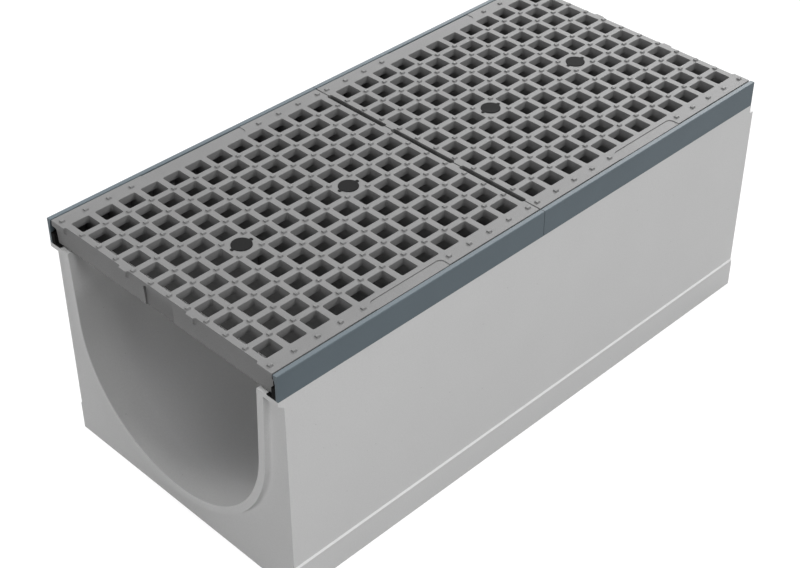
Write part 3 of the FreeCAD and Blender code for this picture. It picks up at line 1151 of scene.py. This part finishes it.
    def side_beams(self) -> Shell:
        """Beams under the side margins, which sit on the liners, with a sloped flange above.

        The section is carried along Y, and both ends lean in with depth as the end ribs do.

        Returns:
            Both beams.
        """
        inner = self.beam_x - self.side_beam - self.sink
        edge = self.half_x - self.sink
        seat_z = self.bottom + self.beam_lift
        easing = self.foot_round
        head_z = self.top - self.plate_depth * self.beam_head_share
        outline = np.array([
            [inner, head_z],
            [edge, head_z],
            [edge, self.plate_z],
            [self.beam_x, self.plate_z - (self.half_x - self.beam_x)],
            [self.beam_x, seat_z + easing],
            [self.beam_x - easing, seat_z],
            [inner + easing, seat_z],
            [inner, seat_z + easing],
        ])
        beams = mirrored(outline)
        depth = np.clip((self.plate_z - beams[..., 1]) / (self.plate_z - self.bottom), 0.0, 1.0)
        end = self.end_y - self.sink * 2 - self.draft * depth
        rings = np.zeros((len(beams), 2, len(outline), 3))
        rings[..., [0, 2]] = beams[:, None]
        rings[..., 1] = np.stack([-end, end], axis=1)
        return lofts(rings)

    def pad_outline(self, inner: float, outer: float, free_outer: bool) -> np.ndarray:
        """Plan of a stop pad: straight front, and a hollow quarter circle where a side meets the end rib.

        Args:
            inner: X of its inner side.
            outer: X of its outer side.
            free_outer: True if the outer side meets the rib too, False if it is flush with the margin.

        Returns:
            Array of (points, 2).
        """
        root = self.end_y
        front = self.half_y
        radius = self.pad_fillet
        easing = self.top_round
        angle = np.linspace(0.0, math.pi / 2, self.arc_points)
        arc = radius * np.stack([np.sin(angle), 1 - np.cos(angle)], axis=-1)
        inner_arc = np.array([inner - radius, root]) + arc
        if free_outer:
            outer_arc = np.array([outer + radius, root]) + arc * np.array([-1.0, 1.0])
        else:
            flush_y = np.linspace(root - radius, front - 2 * easing, self.arc_points)
            outer_arc = np.stack([np.full(self.arc_points, outer), flush_y], axis=-1)
        face = np.array([
            [inner, front - easing],
            [inner + easing, front],
            [outer - easing, front],
            [outer, front - easing],
        ])
        back_y = root - self.pad_root
        back = np.array([[outer_arc[0, 0], back_y], [inner_arc[0, 0], back_y]])
        return np.concatenate([inner_arc, face, outer_arc[::-1], back])

    def end_pads(self) -> Shell:
        """Stop pads at both ends, which leave drain slots between two gratings; their undersides slope.

        Returns:
            The pads.
        """
        half_mid = self.mid_pad_width / 2
        middle = self.pad_outline(self.mid_pad_x - half_mid, self.mid_pad_x + half_mid, True)
        corner = self.pad_outline(self.half_x - self.corner_pad_width, self.half_x - self.sink * 3, False)
        easing = self.top_round
        plans = np.concatenate([mirrored(middle), mirrored(corner)])
        plans = np.concatenate([plans, plans * np.array([1.0, -1.0])])
        slope_z = self.plate_z + self.pad_slope
        heights = np.array([self.top - self.sink, self.top - easing, slope_z, self.plate_z])
        reach = np.array([self.half_y - easing, self.half_y, self.half_y, self.end_y - self.sink * 4])
        rings = at_heights(np.repeat(plans[:, None], len(heights), axis=1), heights)
        rings[..., 1] = np.clip(rings[..., 1], -reach[:, None], reach[:, None])
        return lofts(rings)

    def lock_bosses(self) -> Shell:
        """Solid bosses between two ribs, under the lock cells.

        Returns:
            Both bosses.
        """
        half_y = (self.pitch[1] - self.rib_foot) / 2 + self.draft / 2
        plan = rounded_rectangle(self.hole_width / 2, half_y, self.hole_corner, self.coarse_points)
        head_z = self.plate_z + self.plate_depth * self.boss_head_share
        places = self.middles(self.lock_cells)
        return extrude(plan + places[:, None], 2, np.array([self.bottom + self.sink, head_z]))

    def studs(self) -> Shell:
        """Anti-slip studs on the rib crossings and in the side margins, off the panels.

        They are sloped across the channel and steep along it, with an eased top.

        Returns:
            The studs.
        """
        columns = np.concatenate([self.corner_x[1:-1], [-self.margin_stud_x, self.margin_stud_x]])
        x, y = np.meshgrid(columns, self.corner_y, indexing="ij")
        places = np.stack([x.ravel(), y.ravel()], axis=-1)
        length = np.where(places[:, 0] < 0, *self.panel_lengths)
        on_panel = (np.abs(places[:, 0]) >= self.margin_stud_x) & (np.abs(places[:, 1]) < length / 2)
        places = places[~on_panel]
        base, tip = np.array(self.stud_base), np.array(self.stud_top)
        half = (base + (tip - base) * np.array(self.stud_taper)[:, None]) / 2
        half[-1] -= self.stud_height * self.stud_ease_share
        corner = half.min(axis=1) * self.stud_corner_share
        plan = rounded_rectangle(half[:, 0], half[:, 1], corner, self.coarse_points)
        heights = self.top + self.stud_height * np.array(self.stud_levels)
        return lofts(at_heights(plan + places[:, None, None], heights))

    def lock_holes(self, diameter: float, low: float, high: float) -> Shell:
        """Upright cylinders in the lock cells, to be taken out.

        Args:
            diameter: their diameter.
            low: their lower end.
            high: their upper end.

        Returns:
            The cylinders.
        """
        radius = np.full((2, 1), diameter / 2)
        places = self.middles(self.lock_cells)
        return lofts(polar_rings(radius, np.array([low, high]), places, self.bore_points))

    def end_notches(self) -> Shell:
        """Lifting notches in both end ribs: flat pockets with rounded upper corners, open below.

        Returns:
            What is taken out.
        """
        height = self.top - self.notch_top - self.bottom
        plan = rounded_rectangle(self.notch_width / 2, height, self.notch_corner, self.arc_points)
        outlines = np.repeat(plan + np.array([0.0, self.bottom]), 2, axis=0)
        inner = self.end_y - self.notch_depth
        past = self.half_y + self.cut_past
        return extrude(outlines, 1, np.array([[inner, past], [-past, -inner]]))

    def panels(self) -> Shell:
        """Shallow bare panels in the side margins, with rounded inner corners.

        Returns:
            What is taken out.
        """
        lengths = np.array(self.panel_lengths)
        plans = rounded_rectangle(self.panel_width, lengths / 2, self.panel_corner, self.arc_points)
        plans[..., 0] += self.half_x * np.array([[side.value] for side in Side])
        return extrude(plans, 2, np.array([self.top - self.panel_depth, self.top + self.cut_past]))

    def build(self, finishes: Finishes) -> None:
        """Puts the casting together, moves it to its half and dresses it.

        Args:
            finishes: the module's materials.
        """
        piece = new_object(f"casting_{self.half.name}".lower(), self.plate().mesh("plate"))
        added = (self.cross_ribs(), self.side_beams(), self.end_pads(), self.lock_bosses(), self.studs())
        seat = self.top - self.counterbore_depth
        wide = self.lock_holes(self.counterbore_diameter, seat, self.top + self.cut_past)
        narrow = self.lock_holes(self.bolt_way_diameter, self.bottom - self.cut_past, seat + self.cut_past)
        taken = (wide, narrow, self.end_notches(), self.panels())
        for shells, how in ((added, Join.ADD), (taken, Join.TAKE)):
            for shell in shells:
                combine(piece, shell, how)
        piece.data.transform(Matrix.Translation((0.0, self.middle_y, 0.0)))
        smooth_by_angle(piece, self.smooth_degrees)
        dress(piece, Slot.GRATING, finishes.casting, self.node)


@dataclass
class Lock:
    """What holds a grating down at one place: its cap, its cross bar, and where its bolt stands."""

    number: int
    flange_radius: float = 0.0152
    flange_points: int = 64
    edge_round: float = 0.0005
    edge_share: float = 0.3
    ear_half_width: float = 0.0025
    ear_tip: float = 0.0015
    ear_points: int = 4
    ear_lift: float = 0.00002
    ear_shoulder: float = 0.0004
    ear_drop: float = 0.0001
    fin_half: float = 0.001
    fin_corner: float = 0.0005
    fin_points: int = 3
    fin_overlap: float = 0.0005
    plug_length: float = 0.0046
    plug_radius: float = 0.0132
    bar_arris: float = 0.0008
    smooth_degrees: float = 40.0

    def __post_init__(self) -> None:
        """Reads the cap's place from the frame."""
        self.cap_node = f"lock_cap_{self.number}"
        low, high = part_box(self.cap_node)
        self.top = high.z
        self.seat = low.z + self.plug_length
        self.centre = np.array([(low.x + high.x) / 2, (low.y + high.y) / 2])
        self.ear_reach = (high.y - low.y) / 2

    def flange(self) -> Shell:
        """Round flange: a turned profile with a rounded edge and a flat top.

        Returns:
            The flange.
        """
        easing = self.edge_round
        slight = easing * self.edge_share
        radius = self.flange_radius
        profile = np.array([
            [radius, self.seat],
            [radius, self.top - easing],
            [radius - slight, self.top - slight],
            [radius - easing, self.top],
        ])
        return lofts(polar_rings(profile[:, :1], profile[:, 1], self.centre[None], self.flange_points))

    def ears(self) -> Shell:
        """Two ears in one bar with rounded tips and an eased top.

        Returns:
            The bar.
        """
        easing = np.array([0.0, 0.0, self.edge_round])
        half_x = self.ear_half_width - easing
        half_y = self.ear_reach - easing
        plan = rounded_rectangle(half_x, half_y, self.ear_tip, self.ear_points)
        levels = [self.seat + self.ear_lift, self.top - self.ear_shoulder, self.top - self.ear_drop]
        return lofts(at_heights(plan + self.centre, np.array(levels))[None])

    def fin(self, half_x: float, half_y: float) -> Shell:
        """One of the two crossed fins of the plug.

        Args:
            half_x: half its size along X.
            half_y: half its size along Y.

        Returns:
            The fin.
        """
        plan = rounded_rectangle(half_x, half_y, self.fin_corner, self.fin_points) + self.centre
        return extrude(plan, 2, np.array([self.seat - self.plug_length, self.seat + self.fin_overlap]))

    def build(self, finishes: Finishes) -> None:
        """Makes and dresses the cap and the bar.

        Args:
            finishes: the module's materials.
        """
        cap = new_object(f"cap_{self.number}", self.flange().mesh("flange"))
        across = self.fin(self.plug_radius, self.fin_half)
        along = self.fin(self.fin_half, self.plug_radius)
        for shell in (self.ears(), across, along):
            combine(cap, shell, Join.ADD)
        smooth_by_angle(cap, self.smooth_degrees)
        dress(cap, Slot.CAP, finishes.plastic, self.cap_node)
        bar = arrised_copy(f"lock_bar_{self.number}", f"bar_{self.number}", self.bar_arris)
        dress(bar, Slot.STEEL, finishes.zinc, f"lock_bar_{self.number}")


@dataclass
class Fasteners:
    """Bolts, washers and nuts of all the locks."""

    centres: np.ndarray
    bolt_radius: float = 0.006
    head_flats: float = 0.018
    head_height: float = 0.0075
    crown_share: float = 0.99
    chamfer: float = 0.0012
    corner_cut: float = 0.0006
    thread_pitch: float = 0.00175
    thread_depth: float = 0.0008
    thread_length: float = 0.036
    washer_radius: float = 0.012
    washer_ease: float = 0.0003
    hole_radius: float = 0.00675
    nut_flats: float = 0.019
    nut_bore: float = 0.0061
    points: int = 48
    rings_per_turn: int = 6
    smooth_degrees: float = 35.0

    def bolts(self) -> Shell:
        """Hexagon head bolts.

        The head is a hexagon cut by a cone at its top. The lower shank's radius falls below the bolt's
        by the thread's depth times a triangle wave of height less angle, counted in turns.

        Returns:
            The bolts.
        """
        low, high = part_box("lock_bolts")
        hexagon = hexagon_radius(self.head_flats, self.points)[None]
        under = high.z - self.head_height
        end = low.z + self.chamfer
        threads = np.arange(end, end + self.thread_length, self.thread_pitch / self.rings_per_turn)
        turn = np.arange(self.points) / self.points
        wave = np.abs((threads[:, None] / self.thread_pitch - turn[None]) % 1.0 * 2 - 1)
        shank = self.bolt_radius - self.thread_depth * (1 - wave)
        plain = np.full((1, self.points), self.bolt_radius)
        tip = plain - self.chamfer
        cone = np.minimum(hexagon, self.head_flats / 2)
        radius = np.concatenate([tip, shank, plain, plain, hexagon, hexagon, cone, cone * self.crown_share])
        head = [threads[-1] + self.chamfer, under, under, high.z - self.corner_cut, high.z, high.z]
        heights = np.concatenate([[low.z], threads, head])
        return lofts(polar_rings(radius, heights, self.centres, self.points))

    def washers(self) -> Shell:
        """Flat washers with broken edges, turned round their section.

        Returns:
            The washers.
        """
        low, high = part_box("lock_washers")
        easing = self.washer_ease
        section = np.array([
            [self.hole_radius, low.z],
            [self.washer_radius - easing, low.z],
            [self.washer_radius, low.z + easing],
            [self.washer_radius, high.z - easing],
            [self.washer_radius - easing, high.z],
            [self.hole_radius, high.z],
        ])
        return ring_tubes(polar_rings(section[:, :1], section[:, 1], self.centres, self.points))

    def nuts(self) -> Shell:
        """Hexagon nuts, each face cut by a cone, round a plain bore.

        Returns:
            The nuts.
        """
        low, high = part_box("lock_nuts")
        hexagon = hexagon_radius(self.nut_flats, self.points)
        cone = np.minimum(hexagon, self.nut_flats / 2)
        bore = np.full(self.points, self.nut_bore)
        radius = np.stack([bore, cone, hexagon, hexagon, cone, bore])
        cut = self.corner_cut
        heights = np.array([low.z, low.z, low.z + cut, high.z - cut, high.z, high.z])
        return ring_tubes(polar_rings(radius, heights, self.centres, self.points))

    def build(self, finishes: Finishes) -> None:
        """Makes and dresses the three groups.

        Args:
            finishes: the module's materials.
        """
        groups = (
            ("hexagon_bolts", "lock_bolts", self.bolts()),
            ("flat_washers", "lock_washers", self.washers()),
            ("hexagon_nuts", "lock_nuts", self.nuts()),
        )
        for name, node, shell in groups:
            piece = new_object(name, shell.mesh(name))
            smooth_by_angle(piece, self.smooth_degrees)
            dress(piece, Slot.STEEL, finishes.zinc, node)


def pointing(turn_deg: float, elevation_deg: float) -> Euler:
    """Turn of a lamp or camera that looks down by its elevation."""
    return Euler((math.radians(90.0 - elevation_deg), 0.0, math.radians(turn_deg)))


@dataclass(frozen=True)
class Lamp:
    """One broad even lamp, far away; a wide one is soft."""

    name: str
    azimuth_deg: float
    elevation_deg: float
    width_deg: float
    strength: float

    def build(self) -> None:
        """Hangs the lamp; its light comes from the azimuth counted from +X towards +Y."""
        data = bpy.data.lights.new(self.name, "SUN")
        data.energy = self.strength
        data.angle = math.radians(self.width_deg)
        new_object(self.name, data).rotation_euler = pointing(self.azimuth_deg + 90.0, self.elevation_deg)


@dataclass
class Studio:
    """Camera, soft light and a pale floor."""

    eye: Triple = (1.4118, -1.4584, 1.7025)
    azimuth_deg: float = 44.989
    elevation_deg: float = 37.552
    lens_mm: float = 73.19
    sensor_mm: float = 36.0
    clip_end: float = 100.0
    lamps: tuple[Lamp, ...] = (
        Lamp("back_lamp", azimuth_deg=120.0, elevation_deg=32.0, width_deg=24.0, strength=2.64),
        Lamp("left_lamp", azimuth_deg=180.0, elevation_deg=52.0, width_deg=24.0, strength=1.91),
        Lamp("right_lamp", azimuth_deg=30.0, elevation_deg=32.0, width_deg=24.0, strength=1.29),
        Lamp("high_right_lamp", azimuth_deg=345.0, elevation_deg=52.0, width_deg=24.0, strength=0.85),
        Lamp("low_right_lamp", azimuth_deg=0.0, elevation_deg=12.0, width_deg=24.0, strength=0.49),
        Lamp("front_lamp", azimuth_deg=270.0, elevation_deg=12.0, width_deg=40.0, strength=1.46),
    )
    sky: float = 0.05
    floor_half: float = 9.0
    floor_glow: float = 0.92
    floor_seen: float = 0.15
    floor_bounce: float = 0.25

    def camera(self) -> None:
        """Sets up the camera at the photograph's viewing angle."""
        data = bpy.data.cameras.new("camera")
        data.lens = self.lens_mm
        data.sensor_width = self.sensor_mm
        data.sensor_fit = "HORIZONTAL"
        data.clip_end = self.clip_end
        camera = new_object("camera", data)
        camera.location = self.eye
        camera.rotation_euler = pointing(self.azimuth_deg, self.elevation_deg)
        bpy.context.scene.camera = camera

    def sky_light(self) -> None:
        """A pale even sky that the camera and reflections see as white."""
        world = bpy.data.worlds.new("pale_sky")
        world.use_nodes = True
        graph = NodeGraph(world.node_tree, "OutputWorld")
        background = graph.add("Background")
        strength = graph.remap(graph.seen_ray(), RISE, (self.sky, 1.0))
        graph.feed(background, Color=(1.0, 1.0, 1.0, 1.0), Strength=strength)
        graph.feed(graph.output, Surface=background.outputs["Background"])
        bpy.context.scene.world = world

    def floor_material(self) -> bpy.types.Material:
        """Matt floor that glows for the rays that see it, and is darker to those that light the object.

        Returns:
            The material.
        """
        material = bpy.data.materials.new("pale_floor")
        material.use_nodes = True
        graph = NodeGraph(material.node_tree, "OutputMaterial")
        surfaces = []
        for tone in (self.floor_bounce, self.floor_seen):
            surface = graph.add("BsdfDiffuse")
            graph.feed(surface, Color=(tone, tone, tone, 1.0))
            surfaces.append(surface.outputs["BSDF"])
        bounce, matt = surfaces
        glow = graph.add("Emission")
        graph.feed(glow, Strength=self.floor_glow)
        seen = graph.add("AddShader")
        graph.feed(seen, glow.outputs["Emission"], matt)
        choice = graph.add("MixShader")
        graph.feed(choice, graph.seen_ray(), bounce, seen.outputs["Shader"])
        graph.feed(graph.output, Surface=choice.outputs["Shader"])
        return material

    def floor(self) -> None:
        """A pale floor, nearly white to the camera, that keeps a soft shadow and throws little light back."""
        half = self.floor_half
        corners = [(-half, -half, 0), (half, -half, 0), (half, half, 0), (-half, half, 0)]
        mesh = bpy.data.meshes.new("floor")
        mesh.from_pydata(corners, [], [(0, 1, 2, 3)])
        mesh.materials.append(self.floor_material())
        floor = new_object("floor", mesh)

    def build(self) -> None:
        """Makes the whole studio."""
        bpy.context.scene.view_settings.view_transform = "Standard"
        self.camera()
        for lamp in self.lamps:
            lamp.build()
        self.sky_light()
        self.floor()


def main() -> None:
    """Builds the studio and every sub-assembly."""
    logging.basicConfig(level=logging.INFO, format="%(message)s")
    Studio().build()
    finishes = Finishes.build()
    Trough().build(finishes)
    for half in Half:
        for side in Side:
            EdgeTrim(side, half).build(finishes)
        Grating(half).build(finishes)
    locks = [Lock(number) for number in LOCK_NUMBERS]
    for lock in locks:
        lock.build(finishes)
    Fasteners(np.array([lock.centre for lock in locks])).build(finishes)


if __name__ == "__main__":
    main()
